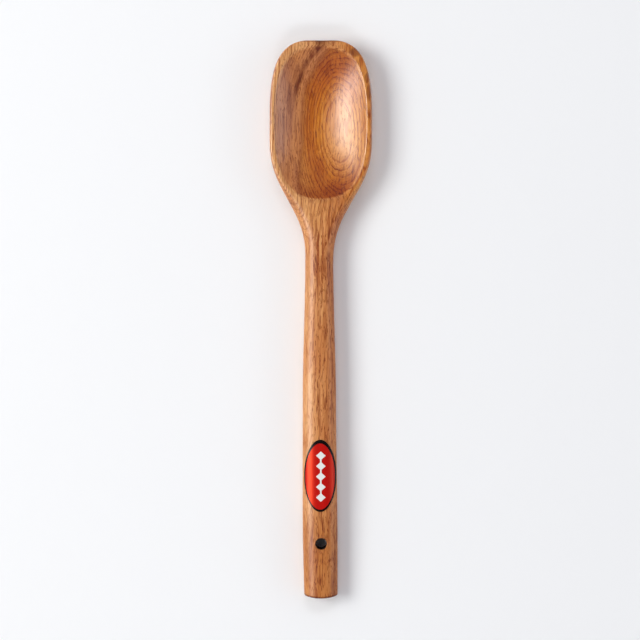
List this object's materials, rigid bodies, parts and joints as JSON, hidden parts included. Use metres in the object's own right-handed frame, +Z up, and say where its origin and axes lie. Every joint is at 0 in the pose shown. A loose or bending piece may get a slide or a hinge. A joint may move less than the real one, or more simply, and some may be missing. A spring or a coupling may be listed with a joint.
{
  "type": "wooden spoon",
  "caption": "Wooden cooking spoon with a squared bowl, a long oval handle with a hang hole near its end, and an oval film label.",
  "frame": {"origin": "on the table that the spoon lies on, under the middle of its bounding box", "axes": "+Y along the spoon from the butt of the handle to the front of the bowl, +Z up out of the open bowl, +X across it to the right when the bowl points away"},
  "size_m": [0.055, 0.3, 0.0153],
  "materials": {
    "wood": "sanded and oiled, satin",
    "black_film": "gloss",
    "red_film": "gloss",
    "white_print": "gloss"
  },
  "bodies": {
    "root": {"spoon_body": "wood", "label_backing": "black_film", "label_face": "red_film", "label_motif": "white_print"}
  },
  "joints": []
}
